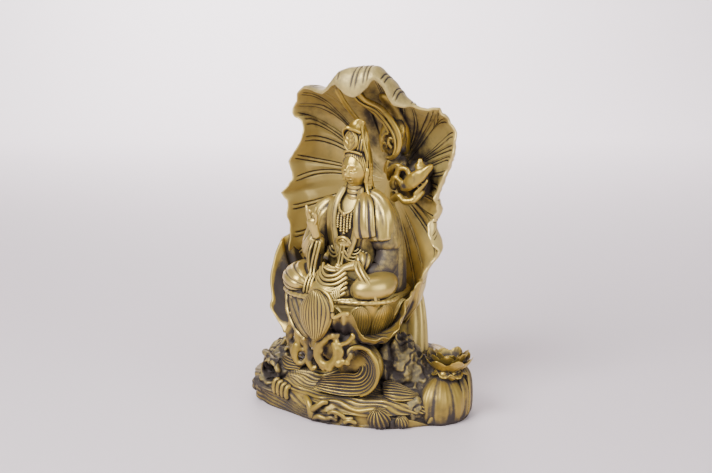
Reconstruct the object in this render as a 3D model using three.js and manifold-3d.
// Guanyin seated in a curled lotus leaf, on a plinth of waves and rocks: one brass casting.
// Millimetres, +Z up. The figure faces -Y and its left side is +X. The underside is flat at Z = 0.
import * as THREE from "three";
import { mergeVertices } from "three/addons/utils/BufferGeometryUtils.js";
import Module from "manifold-3d";

const wasm = await Module();
wasm.setup();

// Driving dimensions.
const PLINTH_LENGTH = 152;
const PLINTH_DEPTH = 112;
const WATER_FRONT_Z = 15;
const WATER_BACK_Z = 30;
const CUP_FLOOR_Z = 56;
const CUP_WALL = 3.6;
const THRONE_RADIUS = 41;
const THRONE_HEIGHT = 26;
const THRONE_PETALS = 14;
const SEAT_Z = CUP_FLOOR_Z + THRONE_HEIGHT;
const FIGURE_X = -2;
const FIGURE_Y = -12;
const HEAD_ABOVE_SEAT = 79;
const LEAF_CENTRE_X = -3;
const LEAF_CENTRE_Y = 40;
const LEAF_CENTRE_Z = 145;
const LEAF_WALL = 3.4;
const LEAF_VEINS = 14;
const FLOWER_RADIUS = 16;

const { sin, cos, abs, exp, sqrt, min, max, PI } = Math;
const FULL = 2 * PI;
const rad = (degrees) => (degrees * PI) / 180;
const clamp = (x, low = 0, high = 1) => min(high, max(low, x));
const mix = (a, b, t) => a + (b - a) * t;
const ease = (x) => clamp(x) ** 2 * (3 - 2 * clamp(x));
const hill = (x, at, reach) => exp(-(((x - at) / reach) ** 2));
const signed = (angle) => (angle > PI ? angle - FULL : angle);
const point = (x, y, z) => new THREE.Vector3(x, y, z);

// A smooth curve of y over x through [x, y] pairs, with flat ends.
function through(pairs, x) {
  const last = pairs.length - 1;
  if (x <= pairs[0][0]) return pairs[0][1];
  if (x >= pairs[last][0]) return pairs[last][1];
  const i = pairs.findIndex((pair) => pair[0] > x) - 1;
  const slope = (k) =>
    k <= 0 || k >= last ? 0 : (pairs[k + 1][1] - pairs[k - 1][1]) / (pairs[k + 1][0] - pairs[k - 1][0]);
  const span = pairs[i + 1][0] - pairs[i][0];
  const t = (x - pairs[i][0]) / span;
  const rise = pairs[i + 1][1] - pairs[i][1];
  const start = slope(i) * span;
  const end = slope(i + 1) * span;
  return pairs[i][1] + start * t + (3 * rise - 2 * start - end) * t * t + (start + end - 2 * rise) * t ** 3;
}

// A triangle mesh as a solid with its faces pointing out.
function solid(geometry) {
  geometry.deleteAttribute("normal");
  geometry.deleteAttribute("uv");
  const merged = mergeVertices(geometry, 1e-4);
  const vertProperties = new Float32Array(merged.attributes.position.array);
  const triVerts = new Uint32Array(merged.index.array);
  const made = new wasm.Manifold(new wasm.Mesh({ numProp: 3, vertProperties, triVerts }));
  if (made.volume() > 0) return made;
  return new wasm.Manifold(new wasm.Mesh({ numProp: 3, vertProperties, triVerts: triVerts.reverse() }));
}

const fuse = (solids) => solids.reduce((all, next) => all.add(next));

// A closed surface with the layout of a globe: place(a, t) gives the point at angle a round it,
// for t from one pole, 0, to the other, 1.
function globe(sides, steps, place) {
  const geometry = new THREE.SphereGeometry(1, sides, steps);
  const { position, uv } = geometry.attributes;
  for (let i = 0; i < position.count; i += 1) {
    const row = Math.round((1 - uv.getY(i)) * steps);
    const column = row === 0 || row === steps ? 0 : Math.round(uv.getX(i) * sides) % sides;
    const p = place((column / sides) * FULL, row / steps);
    position.setXYZ(i, p.x, p.y, p.z);
  }
  return solid(geometry);
}

// An egg shape with its own radii, turned by degrees about Z, with a ripple on its surface.
function egg(centre, radii, { sides = 10, steps = 6, turn = 0, ripple = () => 0 } = {}) {
  const [c, s] = [cos(rad(turn)), sin(rad(turn))];
  return globe(sides, steps, (a, t) => {
    const swell = sin(PI * t) * (1 + ripple(a, t));
    const x = radii.x * cos(a) * swell;
    const y = radii.y * sin(a) * swell;
    return point(centre.x + x * c - y * s, centre.y + x * s + y * c, centre.z + radii.z * cos(PI * t));
  });
}

// A limb, stem or ridge: an oval section carried along a smooth curve. Each stop is
// [point, half width, half height], with the height measured towards "up".
function limb(stops, { sides = 7, steps = 8, up = point(0, 0, 1), groove = () => 0 } = {}) {
  const curve = new THREE.CatmullRomCurve3(stops.map((stop) => stop[0]));
  const last = stops.length - 1;
  const widths = stops.map((stop, i) => [i / last, stop[1]]);
  const heights = stops.map((stop, i) => [i / last, stop[2] ?? stop[1]]);
  return globe(sides, steps, (a, t) => {
    const along = clamp((t * steps - 0.6) / (steps - 1.2));
    const end = t < 0.5 ? t : 1 - t;
    const round = end === 0 ? 0 : end * steps < 1.5 ? 0.72 : 1;
    const forward = curve.getTangent(along);
    const side = forward.clone().cross(up).normalize();
    const top = side.clone().cross(forward);
    const swell = round * (1 + groove(a, along));
    const reach = end === 0 ? (t < 0.5 ? -0.6 : 0.6) * through(widths, along) : 0;
    return curve
      .getPoint(along)
      .addScaledVector(side, cos(a) * through(widths, along) * swell)
      .addScaledVector(top, sin(a) * through(heights, along) * swell)
      .addScaledVector(forward, reach);
  });
}

// A ridge of one thickness through a row of points.
const ridge = (points, thick, options = {}) =>
  limb(points.map((p) => [p, thick]), { sides: 4, steps: points.length + 3, ...options });

// A ring lying in an upright plane, for open loops of foam and pierced rock.
function loop(centre, { wide, high = wide, thick, turn = 0 }) {
  const torus = new THREE.TorusGeometry(1, thick / max(wide, high), 4, 8);
  torus.scale(wide, high, max(wide, high));
  torus.rotateX(PI / 2);
  torus.rotateZ(rad(turn));
  torus.translate(centre.x, centre.y, centre.z);
  return solid(torus);
}

// The great leaf is drawn between its centre, where its stalk joins, and its rim. Each stop on the rim,
// measured from the centre and clockwise from the front of the hood, has the direction in which the
// blade comes in to it.
const LEAF_RIM = [
  [[7, -65, 66], [0, 4, 46]],
  [[20, -61, 73], [0, 6, 28]],
  [[30, -52, 59], [-2, 8, 40]],
  [[46, -35, 54], [-10, 14, 15]],
  [[55, -24, 48], [-12, 16, 2]],
  [[59, -22, 31], [-8, 16, 0]],
  [[54, -22, 12], [-7, 16, 0]],
  [[45, -21, -7], [4, 12, 0]],
  [[42, -23, -21], [7, 12, 0]],
  [[51, -30, -38], [-2, 18, 2]],
  [[43, -34, -53], [1, 20, 4]],
  [[38, -31, -77], [0, 16, 10]],
  [[20, -18, -93], [0, 10, 18]],
  [[-3, -14, -97], [0, 10, 20]],
  [[-30, -26, -89], [-2, 12, 18]],
  [[-52, -40, -69], [0, 22, 8]],
  [[-57, -46, -45], [2, 28, 0]],
  [[-58, -45, -15], [2, 28, 0]],
  [[-53, -42, 13], [0, 26, 0]],
  [[-45, -42, 36], [-4, 26, 2]],
  [[-52, -43, 51], [4, 24, 4]],
  [[-38, -52, 65], [2, 20, 8]],
  [[-19, -60, 64], [4, 14, 14]],
  [[-6, -64, 71], [4, 6, 24]],
];
const closedCurve = (points) => new THREE.CatmullRomCurve3(points.map((p) => point(...p)), true);
const leafRim = closedCurve(LEAF_RIM.map((stop) => stop[0]));
const leafApproach = closedCurve(LEAF_RIM.map((stop) => stop[1]));
const leafCentre = point(LEAF_CENTRE_X, LEAF_CENTRE_Y, LEAF_CENTRE_Z);

// A place measured from the leaf's centre, with the second number counted towards the front.
const onLeaf = (x, forward, rise) => point(x, -forward, rise).add(leafCentre);

// A point of the blade's middle layer: round is the share of the way round the rim, out the share of
// the way from the centre to the rim. Small lobes push the rim in and out.
function blade(round, out) {
  const share = round - Math.floor(round);
  const rim = leafRim.getPoint(share);
  const approach = leafApproach.getPoint(share);
  const nearCentre = point(rim.x, 0, rim.z).multiplyScalar(0.5 + 0.3 * ease((rim.z - 40) / 20));
  const lobe = 1.2 * cos(round * FULL * LEAF_VEINS) * out ** 4;
  return new THREE.CubicBezierCurve3(point(0, 0, 0), nearCentre, rim.clone().add(approach), rim)
    .getPoint(out)
    .addScaledVector(approach.normalize(), -lobe)
    .add(leafCentre);
}

function bladeFacing(round, out) {
  const far = clamp(out, 0.05, 0.98);
  const along = blade(round, far + 0.02).sub(blade(round, far - 0.02));
  const aside = blade(round + 0.004, far).sub(blade(round - 0.004, far));
  return aside.cross(along).normalize();
}

function greatLeaf() {
  const ripple = (round, out) => 1.2 * out ** 4 * sin(round * FULL * 9 + 0.6);
  const vein = (round, out) =>
    0.9 * ease(out * 4) * ease((1 - out) * 6) * abs(cos(round * PI * LEAF_VEINS)) ** 14;
  return globe(LEAF_VEINS * 4, 10, (a, t) => {
    const round = a / FULL;
    const inside = t <= 0.5;
    const out = (1 - abs(1 - 2 * t)) ** 0.85;
    const wall = (LEAF_WALL / 2) * sqrt(clamp(1 - out ** 6)) + 0.05;
    const lift = ripple(round, out) + (inside ? wall + vein(round, out) : -wall);
    return blade(round, out).addScaledVector(bladeFacing(round, out), lift);
  });
}

// The cup that the lower leaf makes round the seat: rim radius, and rim height above the cup's floor,
// against the angle from the front, in degrees, positive towards the figure's left.
const CUP_X = FIGURE_X - 2;
const CUP_Y = FIGURE_Y - 1;
const CUP_RADIUS = [
  [-180, 40], [-150, 50], [-120, 58], [-95, 58], [-82, 57], [-70, 51], [-58, 43], [-40, 41], [-16, 45],
  [14, 49], [28, 51], [38, 56], [52, 57], [66, 54], [80, 48], [95, 46], [112, 48], [150, 46], [180, 40],
];
const CUP_CLIMB = [
  [-180, 6], [-150, 28], [-120, 48], [-94, 51], [-86, 32], [-76, 10], [-60, -5], [-46, 6], [-30, 18],
  [14, 22], [26, 22], [34, 11], [42, 5], [54, 5], [66, 11], [80, 20], [95, 30], [112, 32], [150, 14],
  [180, 6],
];

function seatCup() {
  return globe(32, 8, (a, t) => {
    const degrees = (signed(a) * 180) / PI;
    const inner = t <= 0.5;
    const out = 1 - abs(1 - 2 * t) ** 1.4;
    const rim = through(CUP_RADIUS, degrees) + 1.2 * sin(a * 8);
    const climb = through(CUP_CLIMB, degrees);
    const wall = inner ? 0 : CUP_WALL * (1 - out ** 10);
    const r = rim * out + wall * 0.5 * out;
    return point(CUP_X + sin(a) * r, CUP_Y - cos(a) * r, CUP_FLOOR_Z + climb * out ** 4 - wall);
  });
}

// A place measured from the middle of the cup's floor, with the second number counted to the front.
const onCup = (x, forward, rise) => point(CUP_X + x, CUP_Y - forward, CUP_FLOOR_Z + rise);

// The lobe that folds out over the rim at the front, fluted like a scallop, and the edge beside it.
function foldedLobe() {
  const fan = egg(onCup(0, 38, 17), point(13.5, 12, 15.5), {
    sides: 22,
    steps: 6,
    turn: -8,
    ripple: (a, t) => 0.06 * cos(a * 11) * sin(PI * t),
  });
  const edge = [[-18, 31, 10], [-16, 33, 20], [-11, 36, 28], [-2, 40, 32]];
  return fuse([fan, ridge(edge.map((p) => onCup(...p)), 1.5)]);
}

// The lotus throne: a seed pod with a row of upright petals round it and a beaded rim.
function throne() {
  const profile = [[0, -10], [0.3, -6], [0.6, -2.5], [0.85, -1], [1, 0]];
  const STEPS = 7;
  return globe(THRONE_PETALS * 3, STEPS, (a, t) => {
    const row = Math.round(t * STEPS);
    const up = clamp((row - 1) / 4);
    const petal = abs(sin((a * THRONE_PETALS) / 2)) > 0.1 ? 2.4 * sin(PI * clamp(up * 0.9)) : -0.8;
    const ring = row === 0 || row === STEPS ? 0 : row === STEPS - 1 ? 0.93 : 1;
    const r = ring * (THRONE_RADIUS + through(profile, up) + petal);
    const z = mix(CUP_FLOOR_Z, SEAT_Z, up) - 1 + (row >= STEPS - 1 ? 1.4 : 0);
    return point(FIGURE_X - 2 + sin(a) * r, FIGURE_Y - 2 - cos(a) * r * 0.95, z);
  });
}

// The figure is built on its own axis, in millimetres above the seat.
const body = (x, y, z) => point(FIGURE_X + x, FIGURE_Y + y, SEAT_Z + z);
const fold = (points, thick, options) => ridge(points.map((p) => body(...p)), thick, options);

function torso() {
  const wide = [[0, 25], [12, 21.5], [24, 19], [38, 20.5], [50, 22.5], [57, 19], [62, 9], [67, 6.2]];
  const deep = [[0, 17], [12, 14], [24, 12.5], [38, 12.5], [50, 11], [57, 9], [62, 7], [67, 6]];
  const STEPS = 8;
  const trunk = globe(12, STEPS, (a, t) => {
    const z = mix(-3, 67, clamp((t * STEPS - 1) / (STEPS - 2)));
    const ring = t === 0 || t === 1 ? 0 : 1;
    const x = sin(a) * ring * through(wide, z);
    const y = -cos(a) * ring * through(deep, z);
    return body(x, y + 4 - 2.5 * hill(z, 40, 18), z);
  });
  const lapel = [[6.5, -3, 63], [8, -8.6, 54], [7.5, -11, 42], [5, -11.6, 30], [1, -12.6, 20]];
  const lapels = [-1, 1].map((side) => fold(lapel.map(([x, y, z]) => [side * x, y, z]), 1.5));
  const girdle = fold([[-12, -7, 24], [-4, -10, 17], [3, -10, 17], [11, -7, 24]], 1.8);
  return fuse([trunk, ...lapels, girdle]);
}

// A wide sleeve from the shoulder by the elbow to the cuff. side is +1 for the figure's left.
function sleeve(side, elbow, cuff) {
  const stops = [
    [body(side * 17, 3, 56), 6],
    [body(side * 23, 1, 47), 8.5],
    [body(side * 25.5, -1, 33), 9, 8.5],
    [elbow, 9.5, 9],
    [cuff, 6.8, 7.2],
  ];
  return limb(stops, { sides: 8, steps: 8, up: point(0, 1, 0.2) });
}

// The left hand lies palm up in the lap and holds a pearl. A shawl is drawn over the shoulder, and a
// sash falls from the forearm over the knee.
function leftArm() {
  const cuff = body(15.5, -18, 20);
  const hand = [
    [cuff, 4.4],
    [body(10, -23.5, 17.8), 3.3],
    [body(4, -26, 16.4), 4, 2.6],
    [body(-4, -27, 16), 2, 1.3],
  ];
  return fuse([
    sleeve(1, body(26, -6, 20), cuff),
    limb(hand, { sides: 6, steps: 6 }),
    egg(body(5, -26.5, 19.4), point(1.8, 1.8, 1.8), { sides: 6, steps: 4 }),
    fold([[7, -6, 61], [15, -9.5, 54], [17, -12, 42], [14.5, -12.5, 30]], 2.4),
    fold([[17, -25, 22], [22, -31, 15], [28, -30, 3], [30, -29, -6]], 2),
  ]);
}

// The right hand is raised with the thumb and middle finger closed in a ring.
function rightArm() {
  const cuff = body(-17, -18, 34);
  const palm = body(-19.5, -20, 43);
  const drop = [[body(-19, -16, 35), 3, 6], [body(-22, -15, 22), 3, 8], [body(-19, -18, 6), 2.4, 6]];
  const hand = [[cuff, 4], [body(-18, -19, 38), 3.1], [palm, 3.9, 2.6], [body(-20.5, -20, 47), 3, 1.9]];
  const fingers = [
    [[-20.5, -20, 43], [-23, -20, 51], [-25, -18.5, 56]],
    [[-19.5, -20, 43], [-20, -20.5, 51.5], [-17.5, -22, 52]],
    [[-18.5, -20, 42], [-16, -20, 48], [-15.5, -21, 53]],
  ];
  return fuse([
    sleeve(-1, body(-28, -6, 22), cuff),
    limb(drop, { sides: 6, steps: 5, up: point(0, 1, 0) }),
    limb(hand, { sides: 6, steps: 5 }),
    ...fingers.map((points) => fold(points, 1.2, { steps: 4 })),
  ]);
}

// The crossed legs, and the skirt that falls between the knees in U-shaped folds.
function legs() {
  const leg = (side) =>
    limb(
      [
        [body(side * 10, 4, 7), 11, 8],
        [body(side * 24, -10, 7.5), 11, 8.5],
        [body(side * 29, -21, 6.5), 10.5, 8],
        [body(side * 18, -29, 5), 8.5, 6],
        [body(side * 2, -30, 3.5), 6, 4],
      ],
      { sides: 8, steps: 8 },
    );
  const skirt = egg(body(-1, -25, 4), point(18, 12.5, 9), { sides: 10, steps: 5 });
  const swag = [[-15, 7, 5], [-7, 1, 0], [5, 1, 0], [14, 6, 5]];
  const swags = [[9, -32], [3.5, -36]].map(([drop, front]) =>
    fold(swag.map(([x, y, z]) => [x, front + y, drop + z]), 1.9),
  );
  return fuse([leg(1), leg(-1), skirt, ...swags]);
}

// The head, with a nose and chin on it, and the neck below. Everything on the head is measured from
// its middle.
const onHead = (x, y, z) => body(x, y, HEAD_ABOVE_SEAT + z);

function head() {
  const skull = globe(12, 10, (a, t) => {
    const high = cos(PI * t);
    const nose = 1.5 * hill(signed(a), 0, 0.3) * hill(high, -0.14, 0.2);
    const chin = 1.1 * hill(high, -0.82, 0.2) * max(0, cos(a)) ** 3;
    const r = sin(PI * t) * (1 - 0.12 * ease((-high - 0.2) / 0.8));
    return onHead(2 + sin(a) * 8.4 * r, 1 - cos(a) * 9.4 * r - nose - chin, 12.4 * high);
  });
  const throat = [[body(0.5, 3, 60), 6.5], [onHead(1.6, 2.5, -9), 5.6]];
  return fuse([skull, limb(throat, { sides: 8, steps: 4, up: point(0, 1, 0) })]);
}

// Hair, topknot and the pointed plaque in front of it, with the veil falling behind to the shoulders.
function headdress() {
  const hair = egg(onHead(2.4, 3.4, 2.5), point(10.2, 9.6, 13), { sides: 10, steps: 6 });
  const knot = [[onHead(2.5, 2, 9), 7.5, 7], [onHead(2.5, 2.5, 18), 6.6, 6.2], [onHead(4, 4, 28), 4, 3.6]];
  const topknot = limb(knot, { sides: 12, steps: 4, up: point(0, 1, 0), groove: (a) => 0.06 * cos(a * 6) });
  const plaque = globe(10, 4, (a, t) => {
    const out = sin(PI * t);
    const z = 18.5 + sin(a) * out * (sin(a) > 0 ? 9.2 : 8);
    const thick = (t < 0.5 ? -1.6 : 1.6) * sqrt(clamp(1 - out ** 4)) - 0.2;
    return onHead(1.4 + cos(a) * out * 5.6, -5.2 + thick + (z - 11) * 0.12, z);
  });
  const widths = [[-23, 17], [-17, 13.5], [-7, 12.2], [3, 12.4], [13, 10.4], [23, 7.6], [33, 3]];
  const depths = [[-23, 13.5], [-13, 12.5], [5, 13.4], [19, 9.5], [33, 5]];
  const veil = globe(12, 6, (a, t) => {
    const outer = t < 0.5;
    const out = (1 - abs(1 - 2 * t)) ** 0.7;
    const z = mix(5, cos(a) > 0 ? 31.5 : -23, abs(cos(a)) * out);
    const x = sin(a) * out * through(widths, z);
    const y = mix(through(depths, z), -0.5, (abs(x) / through(widths, z)) ** 2.2);
    return onHead(2.4 + x, y - (outer ? 0 : 2.6 * (1 - out ** 6)), z);
  });
  return fuse([hair, topknot, plaque, veil]);
}

// Curled stalks come down from the hood and arch behind the topknot, round a dark hollow.
function stalks() {
  const outer = [[13, 52, 79], [18, 47, 60], [23, 35, 43], [23, 30, 33], [21, 27, 26], [15, 25, 20]];
  const inner = [[4, 52, 79], [3, 49, 60], [6, 38, 51], [12, 28, 39], [13, 16, 31]];
  const roll = [
    [onLeaf(14, 32, 67), 6, 4],
    [onLeaf(17, 21, 53), 7, 5],
    [onLeaf(19, 17, 37), 9, 6],
    [onLeaf(15, 9, 17), 11, 6],
  ];
  return fuse([
    ridge(outer.map((p) => onLeaf(...p)), 2.4, { up: point(0, 1, 0) }),
    ridge(inner.map((p) => onLeaf(...p)), 2.1, { up: point(0, 1, 0) }),
    limb(roll, { sides: 7, steps: 6, up: point(0, 1, 0) }),
  ]);
}

// The pierced rock that stands out of the leaf behind the left shoulder, with a small vase on it.
function ledge() {
  const slab = [
    [onLeaf(19, 24, -4), 3.5],
    [onLeaf(27, 28, 2), 3.6, 4.2],
    [onLeaf(36, 28, 11), 4],
    [onLeaf(43, 23, 15), 3],
  ];
  const scroll = [[18, 20, -5], [20, 29, -7], [27, 31, -7], [34, 28, -3], [38, 20, -2]];
  const vase = [[13, 3.2], [17, 4], [21, 2.2], [24, 2.8]];
  const ripple = (a, t) => 0.1 * sin(a * 4 + t * 9);
  return fuse([
    limb(slab, { sides: 5, steps: 5, up: point(0, 1, 0) }),
    ridge(scroll.map((p) => onLeaf(...p)), 2.8),
    egg(onLeaf(29, 15, 4), point(15, 9, 12), { sides: 8, steps: 5, ripple }),
    loop(onLeaf(24, 28, 7), { wide: 5.5, thick: 2.4, turn: 10 }),
    limb(vase.map(([rise, r]) => [onLeaf(35, 25, rise), r]), { sides: 7, steps: 5, up: point(0, 1, 0) }),
  ]);
}

// Rock under the seat, with drip-shaped feet that stop short of the water.
function pedestal() {
  const core = egg(onCup(1, -7, -14), point(34, 27, 24), {
    sides: 10,
    steps: 5,
    ripple: (a, t) => 0.06 * sin(a * 5 + 6 * t),
  });
  const FEET = [[-36, 15, -16], [-27, 20, -20], [-18, 25, -20], [-9, 29, -21], [0, 33, -22]];
  const feet = FEET.map(([x, forward, z], i) =>
    limb(
      [
        [onCup(x * 0.78, forward * 0.7, -1), 4.6],
        [onCup(x * 0.97, forward * 0.97, z + 9), 3],
        [onCup(x, forward, z), 3.6 + (i % 2)],
      ],
      { sides: 5, steps: 4, up: point(0, 1, 0) },
    ),
  );
  return fuse([core, ...feet]);
}

// The smooth back of the leaf's stalk, from the plinth up to the leaf.
function stalk() {
  const foot = (deep, z) => point(LEAF_CENTRE_X + 8, (deep * PLINTH_DEPTH) / 2, z);
  const stops = [
    [foot(0.48, 4), 29, 17],
    [foot(0.5, WATER_BACK_Z), 28, 14],
    [onLeaf(6, 8, -87), 28, 10],
    [onLeaf(1, 3, -55), 25, 6],
    [onLeaf(0, 0, -33), 17, 3.5],
    [onLeaf(0, 0, -16), 9, 1.5],
  ];
  return limb(stops, { sides: 12, steps: 7, up: point(0, 1, 0) });
}

// The plinth's outline bulges where the waves push out; its top is a sheet of running water.
const plinthOutline = (a) => 1 + 0.02 * sin(a * 5 + 0.4) + 0.014 * sin(a * 9 + 2);
function waterLevel(x, y) {
  const left = ease((x - 12) / 50) * ease((6 - y) / 20);
  const level = mix(WATER_FRONT_Z, mix(WATER_BACK_Z, WATER_FRONT_Z, left), ease((y + 50) / 24));
  return level + 4 * hill(x, -34, 22) * hill(y, -36, 12) + 5 * hill(x, 0, 40) * hill(y, 30, 18);
}

// A place on the plinth, in shares of its half length and half depth, at a height.
const onPlinth = (x, y, z) => point((x * PLINTH_LENGTH) / 2, (y * PLINTH_DEPTH) / 2, z);

function plinth() {
  const SHOULDER = 0.92;
  const TOP_ROWS = 5;
  const EDGE = [[0.965, 0.86], [1, 0.55], [1, -0.1], [0, -0.1]];
  return globe(36, TOP_ROWS + EDGE.length, (a, t) => {
    const ox = (PLINTH_LENGTH / 2) * sin(a) * plinthOutline(a);
    const oy = (-PLINTH_DEPTH / 2) * cos(a) * plinthOutline(a);
    const row = Math.round(t * (TOP_ROWS + EDGE.length));
    if (row <= TOP_ROWS) {
      const out = (row / TOP_ROWS) ** 0.8 * SHOULDER;
      return point(ox * out, oy * out, waterLevel(ox * out, oy * out));
    }
    const [out, level] = EDGE[row - TOP_ROWS - 1];
    return point(ox * out, oy * out, waterLevel(ox * SHOULDER, oy * SHOULDER) * level);
  });
}

// A breaking wave: a sheet of water rolled into a spiral that faces the front.
function breaker() {
  const centre = onCup(26, 29, -14);
  const RADIUS = 15;
  const curl = (share, thick, from, to, y) => {
    const stops = Array.from({ length: 7 }, (_, i) => {
      const angle = rad(mix(from, to, i / 6));
      const r = RADIUS * share * (1 - 0.04 * i);
      return [point(centre.x + cos(angle) * r, centre.y + y, centre.z + sin(angle) * r), thick, thick * 1.2];
    });
    return limb(stops, { sides: 4, steps: 8, up: point(0, 1, 0) });
  };
  const disc = egg(point(centre.x, centre.y + 5, centre.z), point(14.4, 7, 14.4), { sides: 8, steps: 6 });
  return fuse([disc, curl(0.95, 2.3, 150, -100, -1), curl(0.5, 2, 100, -130, -1.6)]);
}

// Foam that drips over the waves in front of the pedestal, with open loops in it.
function foam() {
  const strand = [
    [8, 37, 0], [4, 39, -7], [6, 40, -15], [12, 40, -18],
    [18, 39, -13], [23, 38, -6], [25, 37, -1],
  ];
  const branches = [
    [[-0.16, -0.91, 4], [-0.145, -0.91, 11], [-0.2, -0.86, 17]],
    [[-0.145, -0.91, 10], [-0.08, -0.89, 16], [-0.03, -0.84, 19]],
  ];
  return fuse([
    ridge(strand.map((p) => onCup(...p)), 2.3, { up: point(0, 1, 0) }),
    loop(onCup(12, 40, -10), { wide: 4, high: 4.6, thick: 1.8, turn: 8 }),
    egg(onCup(12, 32, -11), point(13, 8, 11), { sides: 8, steps: 4 }),
    ...branches.map((points) => ridge(points.map((p) => onPlinth(...p)), 2.3)),
  ]);
}

// The rocks on the plinth: a cave on the figure's right side, a pitted mass on the left.
function rocks() {
  const ripple = (a, t) => 0.07 * sin(a * 4 + 9 * t) + 0.05 * sin(a * 7 - 12 * t);
  const rock = (centre, ...radii) => egg(centre, point(...radii), { sides: 10, steps: 5, ripple });
  const cave = egg(onPlinth(-0.92, -0.36, 17), point(6, 12, 6), { sides: 8, steps: 5, turn: -20 });
  return fuse([
    rock(onPlinth(-0.79, -0.04, 18), 18, 22, 18.5),
    rock(onPlinth(-0.62, -0.28, 21), 17, 15, 15),
    rock(onPlinth(0.46, -0.25, 32), 17, 20, 26),
    rock(onPlinth(0.645, -0.04, 22), 16, 22, 21),
  ]).subtract(cave);
}

// A swelling wave under the open lotus, with grooves running down it, and shells of foam beside it.
function swellAndShells() {
  const shell = (centre, size, ribs) => {
    const ripple = (a) => 0.07 * cos(a * ribs);
    return egg(centre, point(size, size * 0.9, size), { sides: ribs * 2, steps: 4, ripple });
  };
  const grooves = (a, t) => 0.035 * cos(a * 8) * sin(PI * t);
  return fuse([
    egg(onPlinth(0.815, -0.16, 10), point(17, 21, 21), { sides: 16, steps: 6, ripple: grooves }),
    shell(onPlinth(0.5, -0.82, 8), 8.5, 7),
    shell(onPlinth(-0.565, -0.59, 11), 6.5, 5),
    shell(onPlinth(0.6, -0.64, 22), 9, 7),
  ]);
}

// An open lotus: two bowls of petals, one in the other, round a seed pod.
function flower() {
  const centre = onPlinth(0.855, -0.11, 31);
  const bowl = (petals, reach, base, high, wall) =>
    globe(petals * 3, 4, (a, t) => {
      const out = 1 - abs(1 - 2 * t);
      const tip = abs(sin((a * petals) / 2));
      const r = reach * out * (0.8 + 0.22 * tip);
      const z = base + high * out ** 2 * (0.7 + 0.35 * tip) - (t < 0.5 ? 0 : wall * (1 - out ** 3));
      return point(centre.x + sin(a) * r, centre.y - cos(a) * r, centre.z + z);
    });
  return fuse([bowl(8, FLOWER_RADIUS, 0, 8, 8), bowl(6, FLOWER_RADIUS * 0.66, 2.5, 8.5, 5)]);
}

function casting() {
  const ground = new THREE.BoxGeometry(400, 400, 40);
  ground.translate(0, 0, -20);
  return fuse([
    plinth(), rocks(), swellAndShells(), breaker(), foam(), pedestal(), stalk(),
    seatCup(), foldedLobe(), throne(), greatLeaf(),
    legs(), torso(), leftArm(), rightArm(), head(), headdress(),
    stalks(), ledge(), flower(),
  ]).subtract(solid(ground));
}

// Three.js geometry from a solid.
function geometryOf(made) {
  const mesh = made.getMesh();
  const positions = new Float32Array(mesh.numVert * 3);
  for (let i = 0; i < mesh.numVert; i += 1) {
    positions.set(mesh.vertProperties.subarray(i * mesh.numProp, i * mesh.numProp + 3), i * 3);
  }
  const geometry = new THREE.BufferGeometry();
  geometry.setAttribute("position", new THREE.BufferAttribute(positions, 3));
  geometry.setIndex(new THREE.BufferAttribute(new Uint32Array(mesh.triVerts), 1));
  return geometry;
}

const brass = new THREE.MeshStandardMaterial({ color: 0xb08a45, roughness: 0.42, metalness: 1 });
const figure = new THREE.Mesh(geometryOf(casting()), brass);
figure.name = "guanyin_casting";

// The casting stands centred on its own outline.
figure.geometry.computeBoundingBox();
const middle = figure.geometry.boundingBox.getCenter(point(0, 0, 0));
figure.position.set(-middle.x, -middle.y, 0);

const group = new THREE.Group();
group.add(figure);
export default group;
